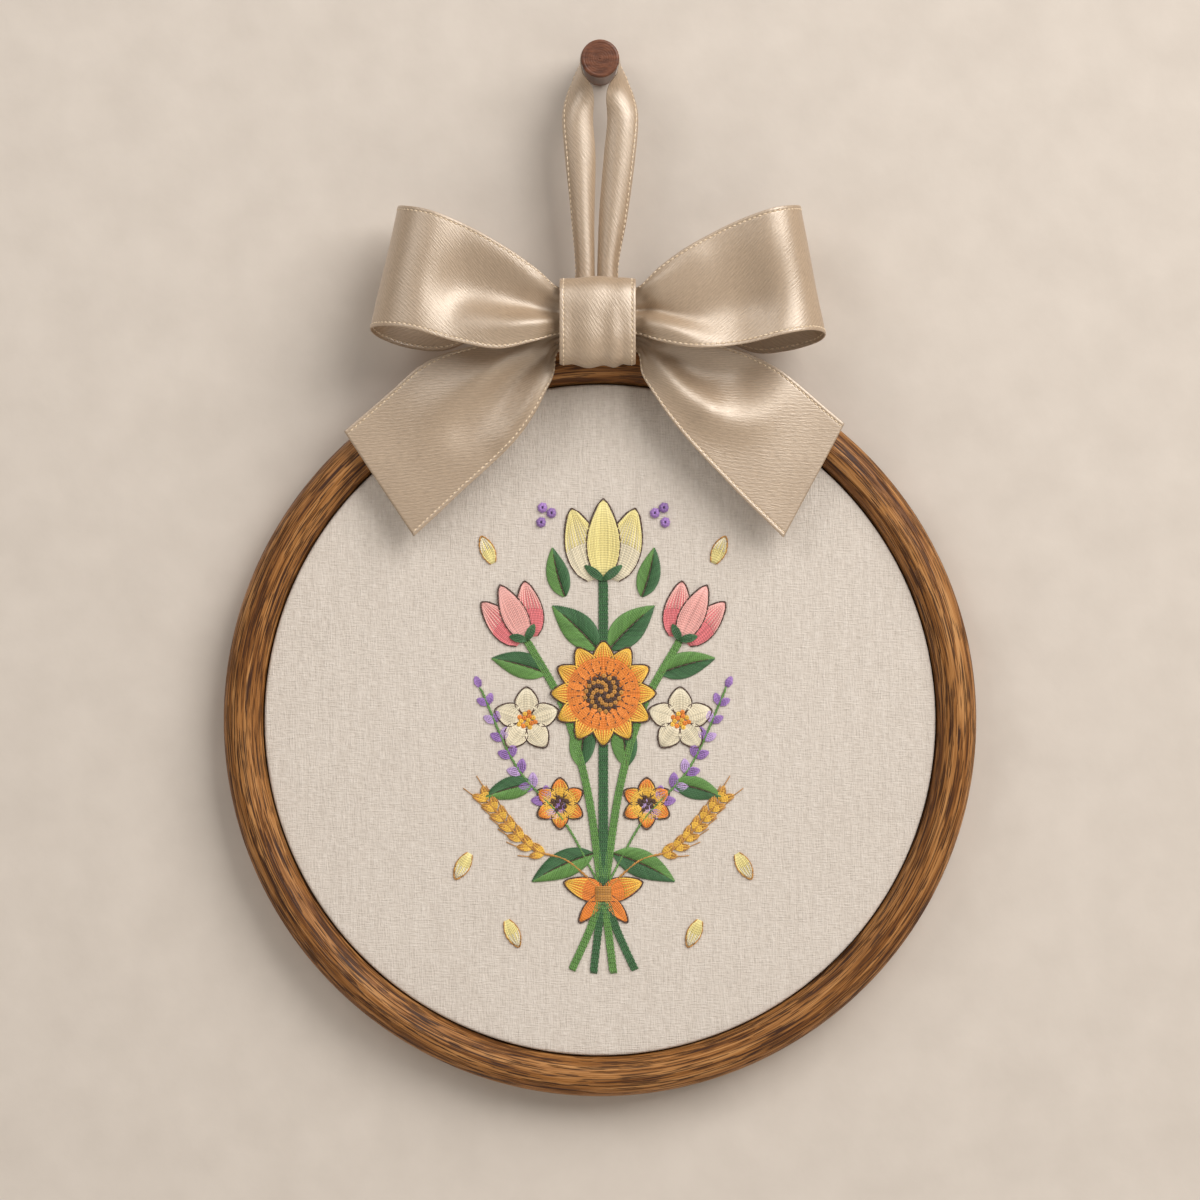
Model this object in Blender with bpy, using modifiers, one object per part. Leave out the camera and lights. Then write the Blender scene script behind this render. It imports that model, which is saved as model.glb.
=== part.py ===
"""Hoop embroidery art: linen stretched in a wooden hoop, with a satin bow, hung by a ribbon from a wall peg.

Metres, +Z up. The wall is the plane Y = 0 and the front faces -Y. The origin is the centre of the peg's
wall end. The ribbon tables are in millimetres from the hoop's centre: x to the right, z up, and out for
the distance in front of the wall.
"""

import math

import bmesh
import bpy
import numpy as np

MM = 0.001

# The hoop, in metres. Its depth is measured forward from the wall.
OPENING_R = 0.101
HOOP_FACE = 0.012
HOOP_DEPTH = 0.015
HOOP_SIDE = 0.0085
BACK_BEVEL = 0.0008
INNER_WALL = 0.005
INNER_BACK = 0.001
INNER_FRONT = 0.0095
CLOTH = 0.001
GAP = 0.0003
RING_STEPS = 72

# The peg, and the hoop's place below it.
PEG_R = 0.0057
PEG_WALL_R = 0.0049
PEG_LENGTH = 0.025
PEG_BEVEL = 0.0009
HOOP_DROP = 0.1965

# The ribbons.
BOW_SHEET = 0.0012
HANGER_SHEET = 0.001
HANGER_WIDTH_MM = 10.6
HANGER_OVER_PEG_OUT_MM = 16.0
HANGER_PEG_R_MM = 7.05
FLATTEST_CUP = 0.9999

# Sections across the left loop, from the knot out along the front, round the end and back behind:
# upper selvedge x, z, out; lower selvedge x, z, out; how far the cloth between them bows outward.
LEFT_LOOP = (
    # top_x, top_z, top_out, low_x, low_z, low_out, crown
    (-1.3, 127.6, 29.5, -1.3, 114.6, 29.5, 0.0),
    (-11.8, 128.0, 29.5, -12.0, 114.3, 29.5, 0.0),
    (-19.6, 133.9, 32.0, -20.0, 112.0, 33.0, 1.2),
    (-28.0, 139.8, 33.5, -30.3, 109.9, 35.0, 1.5),
    (-39.1, 146.1, 34.5, -42.6, 112.0, 36.5, 0.8),
    (-49.5, 150.4, 35.5, -55.2, 115.6, 36.5, 0.5),
    (-57.0, 152.2, 31.0, -64.4, 116.7, 31.5, 0.2),
    (-59.9, 153.0, 21.0, -68.2, 116.4, 21.0, 0.0),
    (-57.0, 152.6, 12.5, -65.5, 114.2, 12.5, 0.2),
    (-50.0, 150.4, 8.0, -57.0, 111.6, 8.0, 0.6),
    (-40.0, 146.0, 7.5, -46.0, 111.2, 7.5, 1.0),
    (-28.0, 139.8, 11.0, -32.0, 117.0, 11.0, 1.5),
    (-19.0, 134.0, 17.5, -21.0, 119.0, 17.5, 1.0),
    (-11.8, 127.6, 24.0, -12.0, 118.3, 24.0, 0.0),
    (-1.3, 127.0, 24.8, -1.3, 118.0, 24.8, 0.0),
)
RIGHT_LOOP = (
    # top_x, top_z, top_out, low_x, low_z, low_out, crown
    (-0.1, 127.6, 29.5, -0.1, 114.6, 29.5, 0.0),
    (10.5, 128.0, 29.5, 10.5, 114.4, 29.5, 0.0),
    (17.7, 134.1, 31.5, 18.1, 112.1, 32.5, 1.2),
    (26.4, 140.2, 33.0, 28.4, 110.2, 35.0, 0.8),
    (38.2, 146.6, 34.0, 41.1, 111.3, 36.0, 0.3),
    (49.8, 150.9, 35.5, 53.9, 114.1, 36.5, 0.4),
    (56.6, 152.3, 31.5, 62.5, 115.6, 31.5, 0.2),
    (59.4, 153.0, 21.5, 66.8, 115.1, 21.5, 0.0),
    (57.0, 152.6, 13.0, 65.0, 113.1, 13.0, 0.2),
    (49.5, 151.0, 8.0, 56.0, 110.8, 8.0, 0.6),
    (39.5, 146.3, 7.5, 45.5, 110.6, 7.5, 1.0),
    (27.5, 140.3, 11.0, 31.5, 117.0, 11.0, 1.5),
    (18.5, 134.3, 17.5, 20.5, 119.0, 17.5, 1.0),
    (10.5, 127.6, 24.0, 10.7, 118.3, 24.0, 0.0),
    (-0.1, 127.0, 24.8, -0.1, 118.0, 24.8, 0.0),
)
# Sections across each tail, from the knot down to the cut end: outer selvedge, inner selvedge, crown.
LEFT_TAIL = (
    # outer_x, outer_z, outer_out, inner_x, inner_z, inner_out, crown
    (-1.7, 116.4, 21.5, -1.7, 110.8, 21.5, 0.0),
    (-12.5, 116.4, 21.5, -12.1, 109.9, 21.5, 0.0),
    (-20.0, 115.6, 21.5, -13.9, 102.8, 22.0, 0.8),
    (-29.0, 113.6, 21.0, -16.2, 97.5, 22.5, 1.5),
    (-38.0, 111.4, 20.5, -19.6, 90.8, 22.5, 1.5),
    (-46.4, 109.2, 20.0, -25.2, 83.2, 22.0, 1.0),
    (-54.0, 105.4, 19.5, -32.6, 76.0, 21.5, 0.6),
    (-62.0, 98.4, 19.3, -40.4, 69.0, 21.0, 0.4),
    (-69.4, 92.0, 19.0, -48.0, 61.8, 20.5, 0.2),
    (-76.2, 86.2, 19.0, -55.4, 54.9, 20.0, 0.0),
)
RIGHT_TAIL = (
    # outer_x, outer_z, outer_out, inner_x, inner_z, inner_out, crown
    (0.3, 116.4, 21.5, 0.3, 110.8, 21.5, 0.0),
    (11.0, 116.4, 21.5, 10.7, 109.9, 21.5, 0.0),
    (19.0, 115.6, 21.5, 12.4, 103.2, 22.0, 0.5),
    (28.0, 113.8, 21.0, 15.4, 98.0, 22.5, 0.6),
    (37.0, 111.8, 20.5, 20.4, 90.6, 22.5, 0.6),
    (45.3, 109.0, 20.0, 27.3, 82.2, 22.0, 0.4),
    (53.0, 104.9, 19.5, 35.3, 73.7, 21.5, 0.2),
    (59.8, 99.6, 19.3, 42.6, 66.2, 21.0, 0.2),
    (66.3, 94.0, 19.0, 48.8, 60.2, 20.5, 0.0),
    (72.8, 88.5, 19.0, 54.6, 54.6, 20.0, 0.0),
)
# Main folds. Each runs between two places on its ribbon: along is counted in sections from the knot, and
# across goes from 0 at the first selvedge to 1 at the second. A positive height is a ridge.
LEFT_LOOP_FOLDS = (
    # along, across, height, width, then the same at the fold's other end
    (0.0, 0.50, -2.2, 0.17, 2.2, 0.48, -3.6, 0.18),
    (2.2, 0.48, -1.4, 0.20, 4.0, 0.55, -4.0, 0.26),
    (0.0, 0.80, 1.6, 0.16, 4.0, 0.80, 1.8, 0.16),
    (0.0, 0.20, 1.4, 0.16, 3.0, 0.20, 1.0, 0.20),
    (14.0, 0.50, -1.5, 0.20, 11.0, 0.50, -3.0, 0.25),
)
RIGHT_LOOP_FOLDS = (
    (0.0, 0.46, -2.2, 0.17, 2.0, 0.50, -3.0, 0.18),
    (2.0, 0.46, -2.0, 0.25, 4.2, 0.42, -4.0, 0.32),
    (0.0, 0.80, 1.6, 0.16, 3.2, 0.80, 2.0, 0.14),
    (0.0, 0.16, 1.2, 0.14, 2.4, 0.16, 0.8, 0.16),
    (14.0, 0.50, -1.5, 0.20, 11.0, 0.50, -3.0, 0.25),
)
LEFT_TAIL_FOLDS = (
    (2.0, 0.45, 1.0, 0.16, 5.0, 0.30, 2.4, 0.22),
    (2.4, 0.76, -0.8, 0.12, 4.6, 0.70, -1.4, 0.14),
)
RIGHT_TAIL_FOLDS = (
    (1.6, 0.80, 0.8, 0.14, 5.0, 0.66, 2.6, 0.20),
    (5.0, 0.66, 1.6, 0.20, 6.8, 0.28, 1.6, 0.24),
    (2.0, 0.40, -0.8, 0.16, 4.6, 0.30, -1.6, 0.22),
)

# Stations along the hanging ribbon: the crown of its cupped section, how wide the cup stands, and how far
# it has turned from facing the front (0) to lying edge on over the peg (90). Each strand goes upward.
LEFT_STRAND = (
    # x, z, out, spread, turn
    (-5.9, 106.6, 16.5, 10.6, 0.0),
    (-5.8, 112.0, 16.6, 10.5, 0.0),
    (-5.0, 122.0, 16.8, 7.0, 0.0),
    (-4.4, 133.6, 17.6, 4.9, 0.0),
    (-5.1, 150.2, 18.0, 6.6, 0.0),
    (-5.9, 168.0, 18.2, 8.9, 0.0),
    (-7.0, 180.0, 18.0, 9.1, 8.0),
    (-6.9, 187.0, 17.0, 9.9, 36.0),
    (-6.6, 192.0, 16.3, 10.6, 72.0),
)
RIGHT_STRAND = (
    # x, z, out, spread, turn
    (5.1, 106.6, 16.5, 10.6, 0.0),
    (5.0, 112.0, 16.6, 10.5, 0.0),
    (3.6, 122.0, 16.8, 7.6, 0.0),
    (2.2, 133.6, 17.6, 5.6, 0.0),
    (3.9, 150.2, 18.0, 8.2, 0.0),
    (5.8, 168.0, 18.2, 9.2, 0.0),
    (7.1, 180.0, 18.0, 9.1, 8.0),
    (6.9, 187.0, 17.0, 9.9, 36.0),
    (6.6, 192.0, 16.3, 10.6, 72.0),
)
PEG_WRAP_DEGREES = (180, 150, 120, 90, 60, 30, 0)

# The knot wrap: a band round the gathered ribbon, with an oblong section.
KNOT_X_MM = (-11.9, 10.5)
KNOT_CENTRE_MM = (27.0, 118.3)
KNOT_HALF_DEPTH_MM = 8.4
KNOT_HALF_HEIGHT_MM = 12.3
KNOT_SQUARENESS = 3.2
KNOT_BARREL_MM = 0.5
KNOT_PLEAT_MM = 0.5
KNOT_PLEATS = 3.0
KNOT_ROUND_STEPS = 36
KNOT_LONG_STEPS = 8

OAK = ("stained_oak", (0.305, 0.115, 0.030), 0.42)
BEECH = ("plain_beech", (0.560, 0.360, 0.180), 0.60)
LINEN = ("linen", (0.700, 0.620, 0.530), 0.90)
SATIN = ("satin", (0.515, 0.377, 0.264), 0.35)
WALNUT = ("dark_dowel", (0.155, 0.052, 0.024), 0.45)


def clear_scene():
    for thing in list(bpy.data.objects):
        bpy.data.objects.remove(thing, do_unlink=True)


def material(finish):
    """A Principled material from a (name, colour, roughness) row, made once."""
    name, colour, roughness = finish
    found = bpy.data.materials.get(name)
    if found:
        return found
    made = bpy.data.materials.new(name)
    made.use_nodes = True
    shader = made.node_tree.nodes["Principled BSDF"]
    shader.inputs["Base Color"].default_value = (*colour, 1.0)
    shader.inputs["Roughness"].default_value = roughness
    shader.inputs["Metallic"].default_value = 0.0
    return made


def add_object(name, mesh, finish, collection):
    mesh.materials.append(material(finish))
    made = bpy.data.objects.new(name, mesh)
    collection.objects.link(made)
    return made


def turned(name, profile, closed, steps, place, finish, collection):
    """A shape turned about the wall's normal. The profile's points are (radius, distance forward)."""
    mesh = bpy.data.meshes.new(name)
    shape = bmesh.new()
    points = [shape.verts.new((radius, 0.0, forward)) for radius, forward in profile]
    for first, second in zip(points, points[1:]):
        shape.edges.new((first, second))
    if closed:
        shape.edges.new((points[-1], points[0]))
    shape.to_mesh(mesh)
    shape.free()
    made = add_object(name, mesh, finish, collection)
    screw = made.modifiers.new("turn", "SCREW")
    screw.axis = "Z"
    screw.angle = math.tau
    screw.steps = steps
    screw.render_steps = steps
    screw.use_merge_vertices = True
    screw.merge_threshold = 0.00001
    screw.use_smooth_shade = True
    made.rotation_euler = (math.radians(90), 0.0, 0.0)
    made.location = place
    return made


def hoop_profile():
    """The outer ring's section: over the rounded front, down the outer side and along the flat back."""
    half = HOOP_FACE / 2
    middle = OPENING_R + half
    outer = OPENING_R + HOOP_FACE
    rise = HOOP_DEPTH - HOOP_SIDE
    front = []
    for degrees in range(180, -1, -20):
        turn = math.radians(degrees)
        front.append((middle + half * math.cos(turn), HOOP_SIDE + rise * math.sin(turn)))
    back = [
        (outer, BACK_BEVEL),
        (outer - BACK_BEVEL, 0.0),
        (OPENING_R + BACK_BEVEL, 0.0),
        (OPENING_R, BACK_BEVEL),
    ]
    return front + back


def inner_ring_profile():
    outer = OPENING_R - 2 * GAP - CLOTH
    inner = outer - INNER_WALL
    return [
        (inner, INNER_FRONT),
        (outer, INNER_FRONT),
        (outer, INNER_BACK),
        (inner, INNER_BACK),
    ]


def cloth_profile():
    """A round cut drawn tight over the inner ring, its margin turned back between the rings."""
    rim_out = OPENING_R - GAP
    rim_in = rim_out - CLOTH
    back = INNER_FRONT + GAP
    front = back + CLOTH
    corner = CLOTH * 0.8
    return [
        (0.0, front),
        (rim_out - corner, front),
        (rim_out - corner * 0.3, front - corner * 0.3),
        (rim_out, front - corner),
        (rim_out, INNER_BACK),
        (rim_in, INNER_BACK),
        (rim_in, back),
        (0.0, back),
    ]


def peg_profile():
    """A turned peg that tapers a little toward the wall."""
    return [
        (0.0, PEG_LENGTH),
        (PEG_R - PEG_BEVEL, PEG_LENGTH),
        (PEG_R - PEG_BEVEL * 0.3, PEG_LENGTH - PEG_BEVEL * 0.3),
        (PEG_R, PEG_LENGTH - PEG_BEVEL),
        (PEG_WALL_R, 0.0),
        (0.0, 0.0),
    ]


def read_between(rows, at):
    """The rows' values at fractional row numbers, on a smooth curve through every row."""
    low = np.clip(np.floor(at).astype(int), 0, len(rows) - 2)
    part = (at - low)[:, None]
    padded = np.vstack([2 * rows[0] - rows[1], rows, 2 * rows[-1] - rows[-2]])
    before, start, end, after = (padded[low + step] for step in range(4))
    slope_in = (end - before) / 2
    slope_out = (after - start) / 2
    square = part**2
    cube = part**3
    return (
        (2 * cube - 3 * square + 1) * start
        + (cube - 2 * square + part) * slope_in
        + (3 * square - 2 * cube) * end
        + (cube - square) * slope_out
    )


def even_stations(line_of, last_row, count):
    """Row numbers at which the ribbon's middle line is cut into equal lengths."""
    fine = np.linspace(0, last_row, 40 * last_row + 1)
    steps = np.linalg.norm(np.diff(line_of(fine), axis=0), axis=1)
    length = np.concatenate([[0], np.cumsum(steps)])
    return np.interp(np.linspace(0, length[-1], count + 1), length, fine)


def normals_of(points):
    along = np.gradient(points, axis=0)
    across = np.gradient(points, axis=1)
    facing = np.cross(across, along)
    return facing / np.linalg.norm(facing, axis=2, keepdims=True)


def smooth(part):
    part = np.clip(part, 0, 1)
    return part * part * (3 - 2 * part)


def fold_lift(fold, along, across):
    """How far one fold lifts the cloth. It runs straight between its ends and fades within half a section."""
    first = np.array(fold[:4])
    second = np.array(fold[4:])
    travelled = (along - first[0]) / (second[0] - first[0])
    past = np.maximum(0, np.abs(travelled - 0.5) - 0.5) * abs(second[0] - first[0])
    share = smooth(travelled)
    middle, height, width = (first[i] + share * (second[i] - first[i]) for i in (1, 2, 3))
    return height * np.exp(-(((across - middle) / width) ** 2)) * np.exp(-((past / 0.5) ** 2))


def ribbon_points(table, folds, side, along_steps, across_steps):
    """A grid of points over a bow ribbon. Side is -1 on the left and 1 on the right, so lifts face out."""
    rows = np.array(table)

    def middle(at):
        section = read_between(rows, at)
        return (section[:, 0:3] + section[:, 3:6]) / 2

    stations = even_stations(middle, len(rows) - 1, along_steps)
    section = read_between(rows, stations)
    across = np.linspace(0, 1, across_steps + 1)[None, :]
    first = section[:, None, 0:3]
    second = section[:, None, 3:6]
    flat = first + (second - first) * across[..., None]
    lift = section[:, 6:7] * 4 * across * (1 - across)
    for fold in folds:
        lift = lift + fold_lift(fold, stations[:, None], across)
    return flat - side * normals_of(flat) * lift[..., None]


def to_world(points):
    """From (x, z, out) in millimetres at the hoop's centre to metres."""
    x, height, out = np.moveaxis(points, -1, 0)
    return np.stack([x * MM, -out * MM, height * MM - HOOP_DROP], axis=-1)


def sheet(name, points, thickness, finish, collection, closed=False):
    """A solid sheet over a grid of points. A closed one joins its last row to its first."""
    rows, columns = points.shape[:2]
    shape = bmesh.new()
    bmesh.ops.create_grid(shape, x_segments=rows - 1, y_segments=columns - 1, size=1.0)
    shape.verts.ensure_lookup_table()
    for vertex in shape.verts:
        row = round((vertex.co.x + 1) / 2 * (rows - 1))
        column = round((vertex.co.y + 1) / 2 * (columns - 1))
        vertex.co = points[row, column]
    if closed:
        bmesh.ops.remove_doubles(shape, verts=shape.verts, dist=0.00001)
    for face in shape.faces:
        face.smooth = True
    mesh = bpy.data.meshes.new(name)
    shape.to_mesh(mesh)
    shape.free()
    made = add_object(name, mesh, finish, collection)
    solid = made.modifiers.new("cloth", "SOLIDIFY")
    solid.thickness = thickness
    solid.offset = 0.0
    solid.use_even_offset = False
    return made


def cup_half_angle(share):
    """Half the angle of an arc whose ends stand this share of its length apart, found by halving."""
    low = 1e-3
    high = math.pi
    for _ in range(40):
        middle = (low + high) / 2
        if math.sin(middle) / middle > share:
            low = middle
        else:
            high = middle
    return low


def strand_rows(table, side):
    """Stations of one strand with the directions of its section: across, and outward from its face."""
    rows = []
    for x, height, out, spread, turn in table:
        angle = math.radians(turn)
        across = (-side * math.cos(angle), 0.0, math.sin(angle))
        face = (side * math.sin(angle), 0.0, math.cos(angle))
        rows.append((x, height, out, spread, *across, *face))
    return rows


def peg_rows():
    """Stations over the top of the peg, where the ribbon lies flat on it."""
    rows = []
    for degrees in PEG_WRAP_DEGREES:
        turn = math.radians(degrees)
        face = (math.cos(turn), math.sin(turn), 0.0)
        height = HOOP_DROP / MM + HANGER_PEG_R_MM * face[1]
        place = (HANGER_PEG_R_MM * face[0], height, HANGER_OVER_PEG_OUT_MM)
        rows.append((*place, HANGER_WIDTH_MM, 0.0, 0.0, 1.0, *face))
    return rows


def hanging_ribbon_points(along_steps, across_steps):
    """Up the left strand, over the peg and down the right strand."""
    right = strand_rows(RIGHT_STRAND, 1)
    rows = np.array(strand_rows(LEFT_STRAND, -1) + peg_rows() + right[::-1])

    def middle(at):
        return read_between(rows, at)[:, 0:3]

    stations = even_stations(middle, len(rows) - 1, along_steps)
    points = []
    for row in read_between(rows, stations):
        place, spread, across, face = row[0:3], row[3], row[4:7], row[7:10]
        across = across / np.linalg.norm(across)
        face = face / np.linalg.norm(face)
        half = cup_half_angle(min(spread / HANGER_WIDTH_MM, FLATTEST_CUP))
        radius = HANGER_WIDTH_MM / 2 / half
        turns = np.linspace(-half, half, across_steps + 1)[:, None]
        points.append(
            place + radius * np.sin(turns) * across - radius * (1 - np.cos(turns)) * face
        )
    return np.array(points)


def knot_points(round_steps, long_steps):
    """The wrap: an oblong band, a little barrelled, with soft pleats round its lower half."""
    out_middle, height_middle = KNOT_CENTRE_MM
    left, right = KNOT_X_MM
    grid = []
    for i in range(round_steps + 1):
        turn = math.tau * (i % round_steps) / round_steps
        cosine = math.cos(turn)
        sine = math.sin(turn)
        size = (abs(cosine) ** KNOT_SQUARENESS + abs(sine) ** KNOT_SQUARENESS) ** (-1 / KNOT_SQUARENESS)
        lower = smooth(np.array(-sine))
        line = []
        for j in range(long_steps + 1):
            share = j / long_steps
            swell = KNOT_BARREL_MM * (1 - (2 * share - 1) ** 2)
            swell += KNOT_PLEAT_MM * lower * math.cos(math.tau * KNOT_PLEATS * share)
            out = out_middle + (KNOT_HALF_DEPTH_MM + swell * max(cosine, 0.0)) * size * cosine
            height = height_middle + (KNOT_HALF_HEIGHT_MM + swell) * size * sine
            line.append((left + share * (right - left), height, out))
        grid.append(line)
    return np.array(grid)


def build():
    clear_scene()
    art = bpy.data.collections.new("hoop_embroidery_art")
    bpy.context.scene.collection.children.link(art)
    hoop_centre = (0.0, 0.0, -HOOP_DROP)
    turned("peg", peg_profile(), False, 32, (0.0, 0.0, 0.0), WALNUT, art)
    turned("hoop_outer", hoop_profile(), True, RING_STEPS, hoop_centre, OAK, art)
    turned("hoop_inner", inner_ring_profile(), True, RING_STEPS, hoop_centre, BEECH, art)
    turned("linen_ground", cloth_profile(), False, RING_STEPS, hoop_centre, LINEN, art)
    ribbons = (
        # name, sections, folds, side, steps along, steps across
        ("bow_loop_left", LEFT_LOOP, LEFT_LOOP_FOLDS, -1, 38, 10),
        ("bow_loop_right", RIGHT_LOOP, RIGHT_LOOP_FOLDS, 1, 38, 10),
        ("bow_tail_left", LEFT_TAIL, LEFT_TAIL_FOLDS, -1, 18, 8),
        ("bow_tail_right", RIGHT_TAIL, RIGHT_TAIL_FOLDS, 1, 18, 8),
    )
    for name, table, folds, side, along_steps, across_steps in ribbons:
        points = ribbon_points(table, folds, side, along_steps, across_steps)
        sheet(name, to_world(points), BOW_SHEET, SATIN, art)
    knot = knot_points(KNOT_ROUND_STEPS, KNOT_LONG_STEPS)
    sheet("knot_wrap", to_world(knot), BOW_SHEET, SATIN, art, closed=True)
    hanger = hanging_ribbon_points(56, 6)
    sheet("hanging_ribbon", to_world(hanger), HANGER_SHEET, SATIN, art)


build()
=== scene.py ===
"""Looks for the hoop embroidery art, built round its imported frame.

Metres, +Z up. The wall is the plane Y = 0 and the front faces -Y. The tables are in millimetres from the
hoop's centre: x to the right, z up, and out for the distance in front of the wall.
"""

import math

import bpy
import numpy as np
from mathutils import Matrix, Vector, noise

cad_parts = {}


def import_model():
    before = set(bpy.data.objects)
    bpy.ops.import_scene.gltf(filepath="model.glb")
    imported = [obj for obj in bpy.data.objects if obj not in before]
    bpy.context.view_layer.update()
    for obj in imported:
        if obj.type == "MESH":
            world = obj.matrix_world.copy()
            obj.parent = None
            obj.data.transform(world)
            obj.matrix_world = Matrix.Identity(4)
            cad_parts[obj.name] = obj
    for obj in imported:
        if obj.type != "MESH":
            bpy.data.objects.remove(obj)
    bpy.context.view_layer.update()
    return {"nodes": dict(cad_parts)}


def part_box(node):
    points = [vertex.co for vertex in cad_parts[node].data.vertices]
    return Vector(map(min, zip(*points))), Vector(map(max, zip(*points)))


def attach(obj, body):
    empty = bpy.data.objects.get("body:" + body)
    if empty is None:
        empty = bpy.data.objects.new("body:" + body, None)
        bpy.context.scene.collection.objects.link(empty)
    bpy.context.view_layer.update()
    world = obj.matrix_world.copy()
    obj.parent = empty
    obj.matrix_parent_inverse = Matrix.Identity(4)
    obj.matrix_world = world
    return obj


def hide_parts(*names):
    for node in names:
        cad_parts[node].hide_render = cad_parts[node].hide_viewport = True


MM = 0.001

# The hoop's section, in millimetres.
OPENING_R = 101.0
HOOP_FACE = 12.0
HOOP_DEPTH = 15.0
HOOP_SIDE = 8.5
BACK_BEVEL = 0.8
PORE_DEPTH = 0.14
RING_AROUND = 720

# The linen, in millimetres.
CLOTH_FRONT = 10.8
CLOTH_THICK = 0.6
CLOTH_RIM = 100.6
CLOTH_BACK_EDGE = 1.0
LINEN_AROUND = 288
LINEN_RINGS = 84

# The peg, in millimetres.
PEG_R = 5.7
PEG_WALL_R = 4.9
PEG_LENGTH = 25.0

# The ribbons, in millimetres.
RIBBON_WIDTH = 38.0
RIBBON_THICK = 0.38
HEM_THICK = 0.62
GROOVE_THICK = 0.2
HEM_WIDTH = 1.15
HEM_PLACES = (0.0, 0.12, 0.4, 0.75, 1.0, 1.15, 1.35, 1.7, 2.3)
INSIDE_HEM = 3.4
STITCH_LENGTH = 1.15
STITCH_SPACE = 0.45
CLOTH_UNEVEN = 0.25
UNEVEN_SIZE = 17.0
HANGER_WIDTH = 10.6
HANGER_OVER_PEG_OUT = 16.0
HANGER_PEG_R = 5.85
HANGER_THIN = 0.85
FLATTEST_CUP = 0.9999

# Sections across the left loop, from the knot out along the front, round the end and back behind:
# upper selvedge x, z, out; lower selvedge x, z, out; how far the cloth between them bows outward.
LEFT_LOOP = (
    # top_x, top_z, top_out, low_x, low_z, low_out, crown
    (-1.3, 127.6, 29.5, -1.3, 114.6, 29.5, 0.0),
    (-11.8, 128.0, 29.5, -12.0, 114.3, 29.5, 0.0),
    (-19.6, 133.9, 32.0, -20.0, 112.0, 33.0, 1.2),
    (-28.0, 139.8, 33.5, -30.3, 109.9, 35.0, 1.5),
    (-39.1, 146.1, 34.5, -42.6, 112.0, 36.5, 0.8),
    (-49.5, 150.4, 35.5, -55.2, 115.6, 36.5, 0.5),
    (-57.0, 152.2, 31.0, -64.4, 116.7, 31.5, 0.2),
    (-59.9, 153.0, 21.0, -68.2, 116.4, 21.0, 0.0),
    (-57.0, 152.6, 12.5, -65.5, 114.2, 12.5, 0.2),
    (-50.0, 150.4, 8.0, -57.0, 111.6, 8.0, 0.6),
    (-40.0, 146.0, 7.5, -46.0, 111.2, 7.5, 1.0),
    (-28.0, 139.8, 11.0, -32.0, 117.0, 11.0, 1.5),
    (-19.0, 134.0, 17.5, -21.0, 119.0, 17.5, 1.0),
    (-11.8, 127.6, 24.0, -12.0, 118.3, 24.0, 0.0),
    (-1.3, 127.0, 24.8, -1.3, 118.0, 24.8, 0.0),
)
RIGHT_LOOP = (
    # top_x, top_z, top_out, low_x, low_z, low_out, crown
    (-0.1, 127.6, 29.5, -0.1, 114.6, 29.5, 0.0),
    (10.5, 128.0, 29.5, 10.5, 114.4, 29.5, 0.0),
    (17.7, 134.1, 31.5, 18.1, 112.1, 32.5, 1.2),
    (26.4, 140.2, 33.0, 28.4, 110.2, 35.0, 0.8),
    (38.2, 146.6, 34.0, 41.1, 111.3, 36.0, 0.3),
    (49.8, 150.9, 35.5, 53.9, 114.1, 36.5, 0.4),
    (56.6, 152.3, 31.5, 62.5, 115.6, 31.5, 0.2),
    (59.4, 153.0, 21.5, 66.8, 115.1, 21.5, 0.0),
    (57.0, 152.6, 13.0, 65.0, 113.1, 13.0, 0.2),
    (49.5, 151.0, 8.0, 56.0, 110.8, 8.0, 0.6),
    (39.5, 146.3, 7.5, 45.5, 110.6, 7.5, 1.0),
    (27.5, 140.3, 11.0, 31.5, 117.0, 11.0, 1.5),
    (18.5, 134.3, 17.5, 20.5, 119.0, 17.5, 1.0),
    (10.5, 127.6, 24.0, 10.7, 118.3, 24.0, 0.0),
    (-0.1, 127.0, 24.8, -0.1, 118.0, 24.8, 0.0),
)
# Sections across each tail, from the knot down to the cut end: outer selvedge, inner selvedge, crown.
LEFT_TAIL = (
    # outer_x, outer_z, outer_out, inner_x, inner_z, inner_out, crown
    (-1.7, 116.4, 21.5, -1.7, 110.8, 21.5, 0.0),
    (-12.5, 116.4, 21.5, -12.1, 109.9, 21.5, 0.0),
    (-20.0, 115.6, 21.5, -13.9, 102.8, 22.0, 0.8),
    (-29.0, 113.6, 21.0, -16.2, 97.5, 22.5, 1.5),
    (-38.0, 111.4, 20.5, -19.6, 90.8, 22.5, 1.5),
    (-46.4, 109.2, 20.0, -25.2, 83.2, 22.0, 1.0),
    (-54.0, 105.4, 19.5, -32.6, 76.0, 21.5, 0.6),
    (-62.0, 98.4, 19.3, -40.4, 69.0, 21.0, 0.4),
    (-69.4, 92.0, 19.0, -48.0, 61.8, 20.5, 0.2),
    (-76.2, 86.2, 19.0, -55.4, 54.9, 20.0, 0.0),
)
RIGHT_TAIL = (
    # outer_x, outer_z, outer_out, inner_x, inner_z, inner_out, crown
    (0.3, 116.4, 21.5, 0.3, 110.8, 21.5, 0.0),
    (11.0, 116.4, 21.5, 10.7, 109.9, 21.5, 0.0),
    (19.0, 115.6, 21.5, 12.4, 103.2, 22.0, 0.5),
    (28.0, 113.8, 21.0, 15.4, 98.0, 22.5, 0.6),
    (37.0, 111.8, 20.5, 20.4, 90.6, 22.5, 0.6),
    (45.3, 109.0, 20.0, 27.3, 82.2, 22.0, 0.4),
    (53.0, 104.9, 19.5, 35.3, 73.7, 21.5, 0.2),
    (59.8, 99.6, 19.3, 42.6, 66.2, 21.0, 0.2),
    (66.3, 94.0, 19.0, 48.8, 60.2, 20.5, 0.0),
    (72.8, 88.5, 19.0, 54.6, 54.6, 20.0, 0.0),
)
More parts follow.
